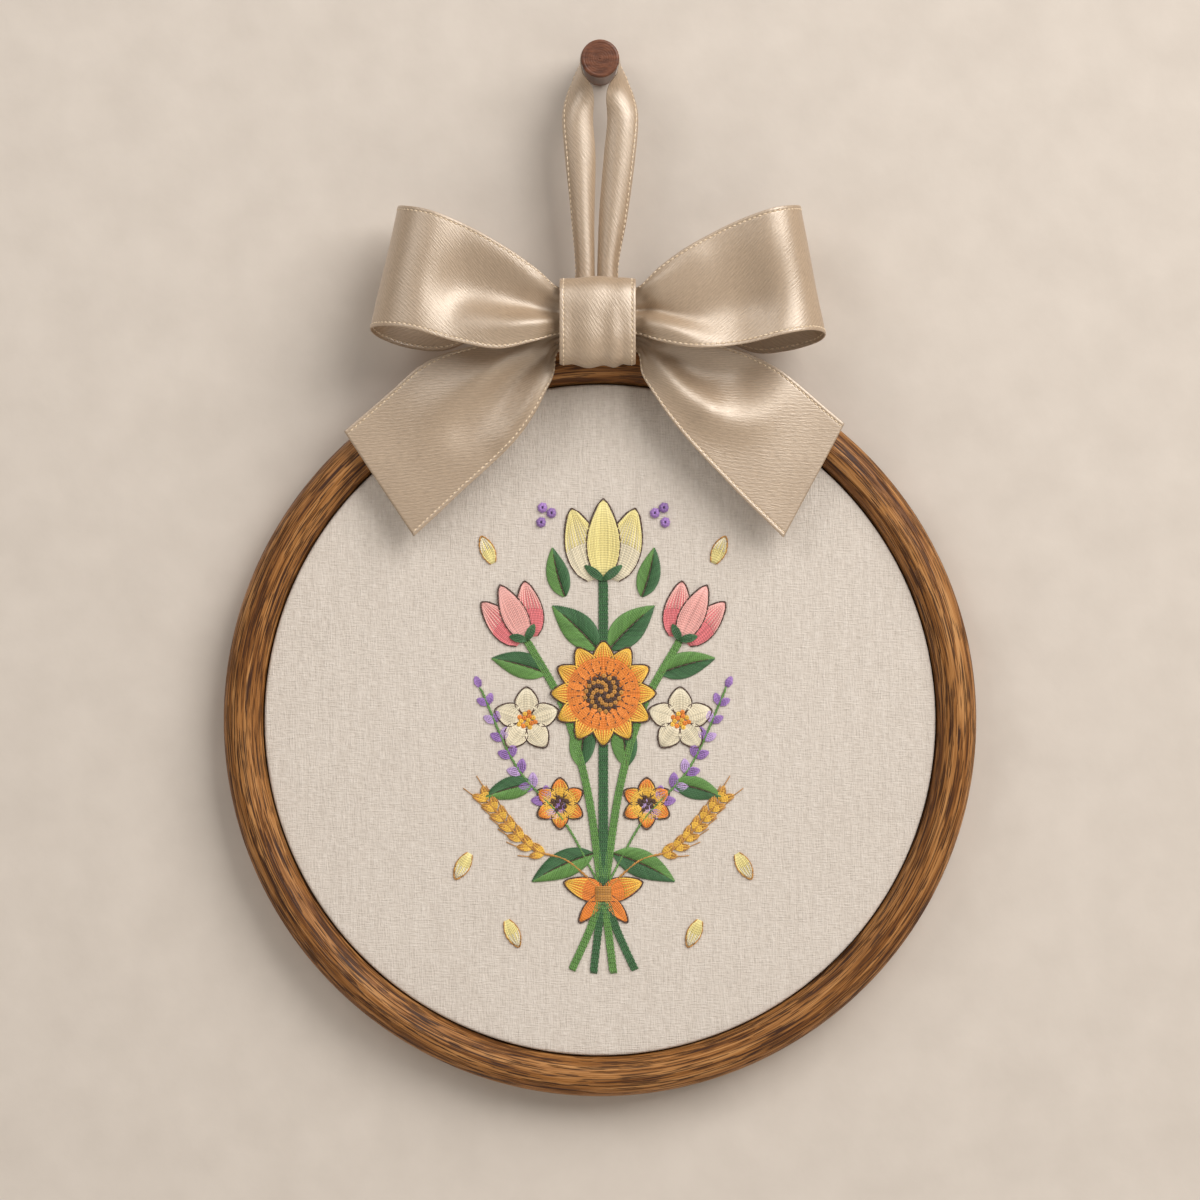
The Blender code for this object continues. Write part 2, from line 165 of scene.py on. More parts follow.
# Folds of the bow. Each is a line over the ribbon, and a positive height is a roll that stands out.
LEFT_LOOP_FOLDS = (
    # (x, z, height, half width) at each station
    (
        (-12.0, 121.5, -2.2, 1.7),
        (-17.0, 122.7, -4.0, 3.0),
        (-24.0, 124.4, -5.6, 5.0),
        (-32.0, 126.4, -6.0, 8.0),
        (-39.0, 127.8, -5.2, 10.5),
    ),
    ((-12.0, 117.6, 1.2, 2.4), (-19.0, 117.2, 2.4, 3.0), (-27.0, 117.0, 2.6, 4.0), (-36.0, 118.0, 1.6, 5.5)),
    ((-12.0, 126.8, 0.8, 2.0), (-18.0, 131.0, 1.6, 3.0), (-26.0, 136.8, 1.8, 4.2), (-34.0, 142.0, 1.0, 6.0)),
)
RIGHT_LOOP_FOLDS = (
    (
        (14.0, 123.0, -1.2, 2.6),
        (22.0, 121.8, -2.6, 4.6),
        (30.0, 121.2, -4.2, 7.5),
        (38.0, 121.6, -5.6, 10.5),
        (45.0, 124.0, -5.6, 12.5),
    ),
    ((10.5, 121.8, -1.6, 1.5), (17.0, 121.0, -2.4, 2.0), (24.0, 119.2, -1.6, 3.0), (31.0, 116.8, -0.5, 4.0)),
    ((10.5, 117.8, 1.2, 2.2), (17.0, 117.0, 2.4, 2.8), (24.0, 115.0, 2.2, 3.6), (31.0, 113.2, 0.8, 4.5)),
    ((10.5, 125.4, 0.8, 1.6), (15.0, 128.2, 1.6, 2.2), (20.5, 132.6, 1.4, 3.2), (27.0, 138.0, 0.8, 5.0)),
)
LEFT_TAIL_FOLDS = (
    ((-21.0, 110.2, 0.8, 3.6), (-30.0, 106.0, 2.4, 5.0), (-38.0, 100.0, 3.0, 6.4), (-46.0, 94.0, 1.6, 8.0)),
    (
        (-17.0, 108.6, -1.2, 2.4),
        (-24.0, 103.2, -3.0, 3.6),
        (-31.0, 96.4, -3.2, 5.0),
        (-40.0, 88.0, -1.8, 7.0),
    ),
    ((-13.0, 107.0, 0.8, 2.0), (-16.8, 100.0, 2.2, 2.8), (-20.8, 92.4, 2.4, 3.6), (-27.0, 84.0, 1.2, 5.0)),
)
RIGHT_TAIL_FOLDS = (
    ((21.0, 108.6, -1.6, 3.4), (30.0, 104.4, -4.0, 5.6), (42.0, 103.4, -3.6, 7.5)),
    ((11.5, 111.8, 0.8, 2.2), (18.0, 104.8, 2.0, 3.2), (24.8, 97.4, 2.6, 4.2), (32.0, 92.0, 2.6, 5.0)),
    ((32.0, 92.0, 1.0, 5.0), (40.0, 89.5, 2.2, 6.0), (47.0, 91.5, 1.8, 6.5), (53.0, 97.0, 0.8, 7.0)),
)
# The loop's cloth turns back at one station of its sections, and behind that it has one fold of its own.
LOOP_TURNS_BACK = 7.3
BACK_FOLD_STATION = 12.5
BACK_FOLD_HEIGHT = -2.6
NEAREST_SHARPNESS = 2.5

# Stations up the two strands of the hanging ribbon: the crown of the cupped section, how far it has turned
# from facing the front (0) to lying edge on over the peg (90), and how wide the cup stands.
STRANDS = (
    # z, out, turn, left_x, left_spread, right_x, right_spread
    (106.6, 16.5, 0.0, -5.9, 10.6, 5.1, 10.6),
    (112.0, 16.6, 0.0, -5.8, 10.5, 5.0, 10.5),
    (122.0, 16.8, 0.0, -5.0, 7.0, 3.6, 7.6),
    (133.6, 17.6, 0.0, -4.4, 4.9, 2.2, 5.6),
    (150.2, 18.0, 0.0, -5.1, 6.6, 3.9, 8.2),
    (168.0, 18.2, 0.0, -5.9, 8.9, 5.8, 9.2),
    (180.0, 18.0, 8.0, -7.0, 9.1, 7.1, 9.1),
    (187.0, 17.0, 36.0, -6.9, 9.9, 6.9, 9.9),
    (192.0, 16.3, 72.0, -6.6, 10.6, 6.6, 10.6),
)
PEG_WRAP_DEGREES = (180, 150, 120, 90, 60, 30, 0)

# The knot wrap: a band round the gathered ribbon, with an oblong section. Its centre is out, then z.
KNOT_X = (-11.9, 10.5)
KNOT_CENTRE = (27.0, 118.3)
KNOT_HALF_DEPTH = 8.4
KNOT_HALF_HEIGHT = 12.3
KNOT_SQUARENESS = 3.2
KNOT_AROUND = 192

# The embroidery, in millimetres. The spray's leaves, berries and strewn buds are given for its right half.
UP = np.array([[0.0, 0.0, 1.0]])
STRAND_R = 0.25
STRAND_RISE = 0.34
TIP_RISE = 0.5
LAYER_RISE = 0.4
LONGEST_CARRY = 14.0
OUTLINE_GAP = 0.3
STEM_ROW = 0.55
STEM_STITCH = 2.7
FLORAL_X = 1.0
LEAVES = (
    # x, z, lean, length, width, bend
    (1.6, 21, 40, 19, 9.0, 2),
    (17, 14, 68, 17, 7.5, 2),
    (7, -14, -3, 17, 7.5, -2),
    (3, -40, 106, 20, 8.0, 3),
    (21, -19, 98, 15, 6.5, 2),
    (11.5, 37, 22, 15, 6.5, -2),
)
BERRIES = ((15.5, 62), (18.6, 59.2), (18.2, 63.6))
STREWN_BUDS = (
    # x, z, lean
    (33, 47, 24),
    (40, -40, 150),
    (29, -60, 205),
)

# Thread colours, linear.
THREADS = {
    # name: colour
    "cream": (0.78, 0.70, 0.52),
    "pale_yellow": (0.86, 0.72, 0.30),
    "yellow": (0.90, 0.50, 0.06),
    "orange": (0.80, 0.24, 0.025),
    "golden": (0.52, 0.24, 0.04),
    "pink": (0.78, 0.20, 0.22),
    "pale_pink": (0.86, 0.42, 0.38),
    "purple": (0.32, 0.17, 0.48),
    "pale_purple": (0.52, 0.36, 0.66),
    "light_green": (0.115, 0.27, 0.055),
    "dark_green": (0.035, 0.13, 0.040),
    "brown": (0.075, 0.030, 0.016),
}


# Materials.


class Finish:
    """A material being made, with short ways to add the nodes that feed its shader."""

    def __init__(self, name, roughness, **settings):
        self.made = bpy.data.materials.new(name)
        self.made.use_nodes = True
        self.tree = self.made.node_tree
        self.shader = self.tree.nodes["Principled BSDF"]
        self.shader.inputs["Roughness"].default_value = roughness
        for setting, value in settings.items():
            self.shader.inputs[setting.replace("_", " ")].default_value = value

    def node(self, kind, inputs=None, **settings):
        """A shader node with its settings, and its inputs either linked or set."""
        made = self.tree.nodes.new(kind)
        for name, value in settings.items():
            setattr(made, name, value)
        for name, value in (inputs or {}).items():
            if isinstance(value, bpy.types.NodeSocket):
                self.tree.links.new(value, made.inputs[name])
            else:
                made.inputs[name].default_value = value
        return made

    def place(self):
        return self.node("ShaderNodeTexCoord").outputs["Object"]

    def uv(self, name):
        return self.node("ShaderNodeUVMap", uv_map=name).outputs["UV"]

    def attribute(self, name, kind="Fac"):
        return self.node("ShaderNodeAttribute", attribute_name=name).outputs[kind]

    def maths(self, operation, first, second):
        return self.node("ShaderNodeMath", {0: first, 1: second}, operation=operation).outputs[0]

    def blend(self, first, first_share, second, second_share):
        """The sum of two values, each times its share."""
        one = self.maths("MULTIPLY", first, first_share)
        return self.maths("ADD", one, self.maths("MULTIPLY", second, second_share))

    def mapped(self, source, scale, turn=0.0):
        inputs = {"Vector": source, "Scale": scale, "Rotation": (0.0, 0.0, math.radians(turn))}
        return self.node("ShaderNodeMapping", inputs).outputs["Vector"]

    def noise(self, vector, detail=2.0, roughness=0.5):
        inputs = {"Vector": vector, "Scale": 1.0, "Detail": detail, "Roughness": roughness}
        return self.node("ShaderNodeTexNoise", inputs).outputs["Fac"]

    def ramp(self, value, *stops):
        """The colour at each value. A stop is its place, then its colour."""
        made = self.node("ShaderNodeValToRGB", {"Fac": value})
        elements = made.color_ramp.elements
        while len(elements) < len(stops):
            elements.new(0.5)
        for element, (place, *colour) in zip(elements, stops):
            element.position = place
            element.color = (*colour, 1.0)
        return made.outputs["Color"]

    def dressed(self, tone, height, relief):
        """The material, with its colour and its bump."""
        self.tree.links.new(tone, self.shader.inputs["Base Color"])
        bump = self.node("ShaderNodeBump", {"Height": height, "Distance": relief, "Strength": 1.0})
        self.tree.links.new(bump.outputs["Normal"], self.shader.inputs["Normal"])
        return self.made


def two_toned(made, stretch, detail, fade, dark, light, relief):
    """A finish of two near tones in one grain, which is finer along an axis the more it is stretched."""
    grain = made.noise(made.mapped(made.place(), stretch), detail, fade)
    return made.dressed(made.ramp(grain, (0.3, *dark), (0.7, *light)), grain, relief)


def satin_material():
    """Champagne satin: slanting ribs of float threads, uneven along their length, and broad highlights."""
    made = Finish(
        "champagne_satin",
        0.46,
        IOR=2.1,
        Specular_IOR_Level=1.0,
        Specular_Tint=(1.0, 0.93, 0.84, 1.0),
        Sheen_Weight=0.1,
        Sheen_Roughness=0.4,
    )
    cloth = made.uv("cloth_mm")
    slanted = made.mapped(cloth, (1.0, 1.0, 1.0), 35.0)
    bands = {"Scale": 0.33, "Distortion": 5.0, "Detail": 2.0, "Detail Scale": 1.2}
    bands["Vector"] = made.mapped(slanted, (0.35, 1.0, 1.0))
    ribs = made.node("ShaderNodeTexWave", bands, bands_direction="Y").outputs["Fac"]
    threads = made.noise(made.mapped(slanted, (0.5, 3.6, 1.0)), 2.0, 0.6)
    patches = made.noise(made.mapped(cloth, (0.12, 0.12, 0.12)))
    height = made.blend(ribs, 0.15, threads, 0.85)
    tone = made.ramp(
        made.blend(height, 0.9, patches, 0.1),
        (0.32, 0.245, 0.158, 0.089),
        (0.50, 0.325, 0.219, 0.130),
        (0.68, 0.400, 0.280, 0.174),
    )
    return made.dressed(tone, height, 0.00011)


def hem_thread_material():
    made = Finish("selvedge_thread", 0.5, Sheen_Weight=0.2)
    dark = (0.60, 0.46, 0.31)
    light = (0.82, 0.68, 0.50)
    return two_toned(made, (900.0, 900.0, 900.0), 2.0, 0.5, dark, light, 0.00008)


def thread_material(name, colour):
    """Stranded cotton: painted sheen and shade in bands along each stitch's twist, the same bands as its
    bump, and a little change of tone between stitches.
    """
    made = Finish(f"thread_{name}", 0.48, Sheen_Weight=0.35, Sheen_Roughness=0.4)
    bands = {"Scale": 0.55, "Distortion": 1.0}
    bands["Vector"] = made.mapped(made.uv("strand_mm"), (1.0, 0.8, 1.0), 38.0)
    twist_bump_and_painted_sheen = made.node("ShaderNodeTexWave", bands).outputs["Fac"]
    dark = [0.62 * part for part in colour]
    light = [min(1.0, 1.22 * part + 0.01) for part in colour]
    # The twist bands lighten and darken the colour: painted sheen and shade of the plies, besides being
    # their bump.
    value = made.blend(made.attribute("tint"), 0.7, twist_bump_and_painted_sheen, 0.3)
    return made.dressed(made.ramp(value, (0.0, *dark), (1.0, *light)), twist_bump_and_painted_sheen, 0.00006)


def linen_material():
    """Plain-weave linen: fine crossing threads of uneven thickness, with longer slubs up and down."""
    made = Finish("natural_linen", 0.85, Sheen_Weight=0.2)
    place = made.place()
    upright = made.noise(made.mapped(place, (2300.0, 1.0, 330.0)), 2.0, 0.6)
    level = made.noise(made.mapped(place, (330.0, 1.0, 2300.0)), 2.0, 0.6)
    slubs = made.noise(made.mapped(place, (700.0, 1.0, 60.0)))
    patches = made.noise(made.mapped(place, (28.0, 28.0, 28.0)), 3.0)
    weave = made.maths("ADD", upright, level)
    height = made.blend(weave, 1.0, slubs, 0.5)
    tone = made.ramp(
        made.blend(height, 0.38, patches, 0.05),
        (0.36, 0.535, 0.472, 0.412),
        (0.50, 0.632, 0.568, 0.505),
        (0.64, 0.722, 0.660, 0.598),
    )
    return made.dressed(tone, height, 0.0003)


def oak_material():
    """Stained oak bent into a ring: pores and darker summer grain run round the hoop."""
    made = Finish("stained_oak", 0.45, Specular_IOR_Level=0.25)
    ring = made.attribute("ring_place", "Vector")
    fine = made.noise(ring, 2.0, 0.55)
    streaks = made.noise(made.mapped(ring, (1.5, 1.5, 0.8)), 1.0)
    tone = made.ramp(
        made.blend(made.attribute("band"), 0.45, fine, 0.55),
        (0.36, 0.110, 0.037, 0.007),
        (0.45, 0.225, 0.086, 0.018),
        (0.54, 0.345, 0.150, 0.042),
        (0.66, 0.465, 0.228, 0.078),
    )
    thin = made.ramp(streaks, (0.59, 0.0, 0.0, 0.0), (0.63, 0.85, 0.85, 0.85))
    dark = made.maths("MAXIMUM", made.attribute("grain"), thin)
    mix = {"Factor": dark, "A": tone, "B": (0.048, 0.017, 0.007, 1.0)}
    pored = made.node("ShaderNodeMix", mix, data_type="RGBA").outputs["Result"]
    return made.dressed(pored, made.blend(fine, 1.0, dark, -0.8), 0.0002)


def plain_wood_material(name, dark, light, roughness, stretch):
    """Straight grain along one axis, for the pieces that are nearly hidden."""
    return two_toned(Finish(name, roughness), stretch, 4.0, 0.6, dark, light, 0.00015)


def wall_material():
    """Seen from its front only, so that the back of the hoop can be looked at."""
    made = Finish("pale_wall", 0.9)
    dark = (0.570, 0.512, 0.455)
    two_toned(made, (60.0, 60.0, 60.0), 4.0, 0.5, dark, (0.615, 0.555, 0.496), 0.0003)
    behind = made.node("ShaderNodeNewGeometry").outputs["Backfacing"]
    clear = made.node("ShaderNodeBsdfTransparent").outputs["BSDF"]
    both = made.node("ShaderNodeMixShader", {0: behind, 1: made.shader.outputs["BSDF"], 2: clear})
    made.tree.links.new(both.outputs["Shader"], made.tree.nodes["Material Output"].inputs["Surface"])
    return made.made


# Meshes.


def smooth(part):
    part = np.clip(part, 0, 1)
    return part * part * (3 - 2 * part)


def read_between(rows, at):
    """The rows' values at fractional row numbers, on a smooth curve through every row."""
    low = np.clip(np.floor(at).astype(int), 0, len(rows) - 2)
    part = (at - low)[:, None]
    padded = np.vstack([2 * rows[0] - rows[1], rows, 2 * rows[-1] - rows[-2]])
    before, start, end, after = (padded[low + step] for step in range(4))
    slope_in = (end - before) / 2
    slope_out = (after - start) / 2
    square = part**2
    cube = part**3
    return (
        (2 * cube - 3 * square + 1) * start
        + (cube - 2 * square + part) * slope_in
        + (3 * square - 2 * cube) * end
        + (cube - square) * slope_out
    )


def lengths_along(points):
    """How far along a line each of its points is."""
    steps = np.linalg.norm(np.diff(points, axis=0), axis=1)
    return np.concatenate([[0.0], np.cumsum(steps)])


def read_off(at, travelled, values):
    """The columns of values, read at distances along a line."""
    return np.stack([np.interp(at, travelled, column) for column in values.T], axis=-1)


def even_stations(line_of, last_row, count):
    """Row numbers at which the ribbon's middle line is cut into equal lengths."""
    fine = np.linspace(0, last_row, 40 * last_row + 1)
    length = lengths_along(line_of(fine))
    return np.interp(np.linspace(0, length[-1], count + 1), length, fine)


def unit(vectors):
    return vectors / np.maximum(np.linalg.norm(vectors, axis=-1, keepdims=True), 1e-9)


def normals_of(points):
    return unit(np.cross(np.gradient(points, axis=1), np.gradient(points, axis=0)))


def noise_at(places):
    """The noise at each place of an array of places."""
    values = [noise.noise(Vector(place)) for place in places.reshape(-1, 3)]
    return np.array(values).reshape(places.shape[:-1])


def to_world(points, centre):
    """From (x, z, out) in millimetres at the hoop's centre to metres."""
    x, height, out = np.moveaxis(np.asarray(points, float), -1, 0)
    return np.stack([centre.x + x * MM, -out * MM, centre.z + height * MM], axis=-1)


def grid_faces(rows, columns, wrap_rows=False, wrap_columns=False):
    """Quads over a grid of points. Where it wraps, the last row or column is joined to the first."""
    row, column = np.meshgrid(
        np.arange(rows - (not wrap_rows)), np.arange(columns - (not wrap_columns)), indexing="ij"
    )
    after = (row + 1) % rows
    beside = (column + 1) % columns
    corners = ((row, column), (after, column), (after, beside), (row, beside))
    return np.stack([line * columns + place for line, place in corners], axis=-1).reshape(-1, 4)


def turned_grid(radii, outs, turns):
    """Points turned about the wall's normal: a row for each turn, a column for each radius."""
    x = radii * np.cos(turns)[:, None]
    height = radii * np.sin(turns)[:, None]
    return np.stack([x, height, np.broadcast_to(outs, x.shape)], axis=-1)


def add_piece(name, points, faces, finish, uv=None, uv_name="", values=None):
    """A smooth mesh piece on the frame's one body, from points in metres and faces as corner numbers."""
    mesh = bpy.data.meshes.new(name)
    mesh.from_pydata(points.tolist(), [], faces)
    mesh.validate()
    mesh.polygons.foreach_set("use_smooth", np.ones(len(mesh.polygons), bool))
    if uv is not None:
        layer = mesh.uv_layers.new(name=uv_name)
        corners = np.zeros(len(mesh.loops), int)
        mesh.loops.foreach_get("vertex_index", corners)
        layer.data.foreach_set("uv", uv[corners].astype(np.float32).ravel())
    for value_name, (kind, field, numbers) in (values or {}).items():
        attribute = mesh.attributes.new(value_name, kind, "POINT")
        attribute.data.foreach_set(field, numbers.astype(np.float32).ravel())
    mesh.materials.append(finish)
    made = bpy.data.objects.new(name, mesh)
    bpy.context.scene.collection.objects.link(made)
    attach(made, "root")
    return made


def cloth_solid(name, points, thickness, uv, finish, centre, wrap=False):
    """A closed sheet round a grid of points in millimetres. The thickness may differ for each column."""
    rows, columns = points.shape[:2]
    padded = np.concatenate([points[-1:], points, points[:1]]) if wrap else points
    facing = normals_of(padded)
    facing = facing[1:-1] if wrap else facing
    half = np.broadcast_to(thickness, (rows, columns))[..., None] / 2
    both = np.concatenate([points + facing * half, points - facing * half]).reshape(-1, 3)
    count = rows * columns
    front = grid_faces(rows, columns, wrap)
    faces = [front, (front + count)[:, ::-1]]
    numbers = np.arange(count).reshape(rows, columns)
    edges = [(numbers[:, 0], False), (numbers[:, -1], True)]
    if not wrap:
        edges += [(numbers[0], True), (numbers[-1], False)]
    for edge, flip in edges:
        near = edge if wrap else edge[:-1]
        far = np.roll(edge, -1)[: len(near)]
        wall = np.stack([near, near + count, far + count, far], axis=-1)
        faces.append(wall[:, ::-1] if flip else wall)
    place = np.tile(uv.reshape(-1, 2), (2, 1))
    faces = np.concatenate(faces).tolist()
    return add_piece(name, to_world(both, centre), faces, finish, place, "cloth_mm")


def tube_rings(path, radii, up, sides, flatten):
    """Rings of points round a path: up is the direction the stitch stands proud of the cloth."""
    ahead = unit(np.gradient(path, axis=0))
    side = unit(np.cross(ahead, up))
    lift = np.cross(side, ahead)
    turn = (np.arange(sides) * math.tau / sides)[None, :, None]
    ring = np.cos(turn) * side[:, None, :] + flatten * np.sin(turn) * lift[:, None, :]
    return path[:, None, :] + radii[:, None, None] * ring


class Stitches:
    """Strands gathered into one mesh, each a closed tube with a tone of its own."""

    def __init__(self, seed):
        self.points = []
        self.faces = []
        self.uv = []
        self.tint = []
        self.count = 0
        self.went_down = None
        self.random = np.random.default_rng(seed)

    def add(self, path, radii, up, sides, flatten=0.8):
        rows = len(path)
        self.points.append(tube_rings(path, radii, up, sides, flatten).reshape(-1, 3))
        self.tint.append(np.full(rows * sides, self.random.uniform(0.15, 0.85)))
        quads = grid_faces(rows, sides, wrap_columns=True)[:, [0, 3, 2, 1]]
        self.faces.extend((quads + self.count).tolist())
        self.faces.append([self.count + k for k in range(sides - 1, -1, -1)])
        self.faces.append([self.count + (rows - 1) * sides + k for k in range(sides)])
        around = np.linspace(0, 1, sides, endpoint=False)
        places = np.meshgrid(lengths_along(path), around, indexing="ij")
        self.uv.append(np.stack(places, axis=-1).reshape(-1, 2))
        self.count += rows * sides

    def piece(self, name, finish, slot, centre):
        points = to_world(np.concatenate(self.points), centre)
        tints = {"tint": ("FLOAT", "value", np.concatenate(self.tint))}
        return add_piece(
            name, points, self.faces, finish, np.concatenate(self.uv), "strand_mm", tints
        )


# Ribbons.


def fold_lift(stations, flat):
    """How far one fold lifts each point of a ribbon, shared smoothly between the fold's nearest points."""
    rows = np.array(stations)
    line = read_between(rows, np.linspace(0, len(rows) - 1, 10 * (len(rows) - 1) + 1))
    x = flat[..., 0, None] - line[:, 0]
    height = flat[..., 1, None] - line[:, 1]
    away = (x**2 + height**2) / line[:, 3] ** 2
    share = np.exp(-NEAREST_SHARPNESS * (away - away.min(axis=-1, keepdims=True)))
    lifts = line[:, 2] * np.exp(-away)
    return (share * lifts).sum(axis=-1) / share.sum(axis=-1)


def hem_shares(width, steps):
    """Shares across a ribbon: close together over the hems, then even."""
    edge = np.array(HEM_PLACES) / width
    inside = np.linspace(INSIDE_HEM / width, 1 - INSIDE_HEM / width, steps)
    return np.concatenate([edge, inside, 1 - edge[::-1]])


def hem_thickness(shares, width):
    """Thick over the turned hem, thin at the stitched groove, and plain between."""
    inward = np.minimum(shares, 1 - shares) * width
    hem = HEM_THICK * (1 - 0.45 * np.exp(-((inward / 0.2) ** 2)))
    thick = np.where(inward < HEM_WIDTH - 0.1, hem, RIBBON_THICK)
    groove = np.exp(-(((inward - HEM_WIDTH) / 0.16) ** 2))
    return thick * (1 - groove) + GROOVE_THICK * groove


def hem_stitches(stitches, points, shares, width, faces, edges):
    """Rows of small straight stitches just inside the hems, on the stated faces of the ribbon."""
    facing = normals_of(points)
    radii = np.array([0.13, 0.24, 0.24, 0.13])
    bow = np.array([0.06, 0.2, 0.2, 0.06])[:, None]
    for edge in edges:
        share = HEM_WIDTH / width if edge == 0 else 1 - HEM_WIDTH / width
        column = int(np.argmin(np.abs(shares - share)))
        line = points[:, column]
        travelled = lengths_along(line)
        start = 0.4
        while start + STITCH_LENGTH < travelled[-1]:
            at = np.linspace(start, start + STITCH_LENGTH, 4)
            path = read_off(at, travelled, line)
            up = read_off(at, travelled, facing[:, column])
            for face in faces:
                stitches.add(path + up * face * bow, radii, up * face, 5)
            start += STITCH_LENGTH + STITCH_SPACE


class RibbonMaker:
    """Makes every ribbon of the same satin and hem thread."""

    def __init__(self, centre):
        self.centre = centre
        self.satin = satin_material()
        self.hem_thread = hem_thread_material()

    def sew(
        self,
        node,
        points,
        line,
        shares,
        width,
        seed,
        held,
        rests_on,
        thickness=None,
        faces=(1, -1),
        edges=(0, 1),
        wrap=False,
        weave_start=0.0,
    ):
        """A ribbon's cloth and hem stitches, from its grid of points and its middle line."""
        if thickness is None:
            thickness = hem_thickness(shares, width)
        travelled = lengths_along(np.concatenate([line, line[:1]]) if wrap else line)
        across = shares * width + weave_start
        uv = np.stack(np.meshgrid(travelled[: len(line)], across, indexing="ij"), axis=-1)
        sheet = cloth_solid(
            node + "_satin", points, thickness, uv, self.satin, self.centre, wrap
        )
        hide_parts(node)
        rows = Stitches(seed)
        opened = np.concatenate([points, points[:1]]) if wrap else points
        hem_stitches(rows, opened, shares, width, faces, edges)
        thread = rows.piece(node + "_hem_stitches", self.hem_thread, "satin_ribbon", self.centre)


def gather(along, across, reach, height, pleats, seed):
    """Small pleats that run out of the knot and die away."""
    near = np.exp(-((along / reach) ** 2))[:, None]
    drift = 0.5 * np.sin(1.3 * along + seed)[:, None]
    wave = np.cos(math.tau * pleats * across + drift + seed)
    edges = smooth(across * 8) * smooth((1 - across) * 8)
    return height * near * wave * edges


def bow_ribbon(maker, node, table, folds, side, steps, seed, is_loop):
    """A loop or tail of the bow, its folds laid over the surface between its selvedges."""
    shares = hem_shares(RIBBON_WIDTH, 44)
    rows = np.array(table)

    def middle(at):
        section = read_between(rows, at)
        return (section[:, 0:3] + section[:, 3:6]) / 2

    stations = even_stations(middle, len(rows) - 1, steps)
    section = read_between(rows, stations)
    across = shares[None, :]
    first = section[:, None, 0:3]
    second = section[:, None, 3:6]
    flat = first + (second - first) * across[..., None]
    lift = section[:, 6:7] * 4 * across * (1 - across)
    front = smooth(LOOP_TURNS_BACK - stations)[:, None] if is_loop else 1.0
    for fold in folds:
        lift = lift + front * fold_lift(fold, flat)
    lift = lift + gather(stations - 1.0, across, 1.2, 0.22, 4.0, seed)
    if is_loop:
        behind = np.exp(-(((stations - BACK_FOLD_STATION) / 1.6) ** 2))[:, None]
        lift = lift + BACK_FOLD_HEIGHT * behind * np.exp(-(((across - 0.5) / 0.2) ** 2))
    lift = lift + CLOTH_UNEVEN * noise_at(flat / UNEVEN_SIZE + seed)
    points = flat + side * normals_of(flat) * lift[..., None]
    line = middle(stations)
    maker.sew(node, points, line, shares, RIBBON_WIDTH, seed, "gathered", "knot_wrap_satin")


def cup_half_angle(share):
    """Half the angle of an arc whose ends stand this share of its length apart, found by halving."""
    low = 1e-3
    high = math.pi
    for _ in range(40):
        middle = (low + high) / 2
        if math.sin(middle) / middle > share:
            low = middle
        else:
            high = middle
    return low


def strand_rows(side):
    """Stations of one strand with the directions of its section: across, and outward from its face."""
    rows = []
    for height, out, turn, left_x, left_spread, right_x, right_spread in STRANDS:
        x, spread = (left_x, left_spread) if side < 0 else (right_x, right_spread)
        angle = math.radians(turn)
        across = (-side * math.cos(angle), 0.0, math.sin(angle))
        face = (side * math.sin(angle), 0.0, math.cos(angle))
        rows.append((x, height, out, spread, *across, *face))
    return rows


def peg_rows(peg_above):
    """Stations over the top of the peg, where the ribbon lies flat on it."""
    rows = []
    for degrees in PEG_WRAP_DEGREES:
        turn = math.radians(degrees)
        face = (math.cos(turn), math.sin(turn), 0.0)
        place = (HANGER_PEG_R * face[0], peg_above + HANGER_PEG_R * face[1], HANGER_OVER_PEG_OUT)
        rows.append((*place, HANGER_WIDTH, 0.0, 0.0, 1.0, *face))
    return rows


def hanging_ribbon(maker, peg_above):
    """Up the left strand, over the peg and down the right strand."""
    rows = np.array(strand_rows(-1) + peg_rows(peg_above) + strand_rows(1)[::-1])

    def middle(at):
        return read_between(rows, at)[:, 0:3]

    stations = even_stations(middle, len(rows) - 1, 240)
    shares = hem_shares(HANGER_WIDTH, 12)
    points = []
    for row in read_between(rows, stations):
        place, spread, across, face = row[0:3], row[3], unit(row[4:7]), unit(row[7:10])
        half = cup_half_angle(min(spread / HANGER_WIDTH, FLATTEST_CUP))
        radius = HANGER_WIDTH / 2 / half
        turns = ((2 * shares - 1) * half)[:, None]
        points.append(place + radius * np.sin(turns) * across - radius * (1 - np.cos(turns)) * face)
    # The hem with stitches is the outer one on both strands, and the other edge is plain and rolled.
    thickness = np.where(shares > 0.5, RIBBON_THICK, hem_thickness(shares, HANGER_WIDTH))
    maker.sew(
        "hanging_ribbon",
        np.array(points),
        middle(stations),
        shares,
        HANGER_WIDTH,
        31,
        "hung",
        "peg_dowel",
        thickness=thickness * HANGER_THIN,
        edges=(0,),
    )


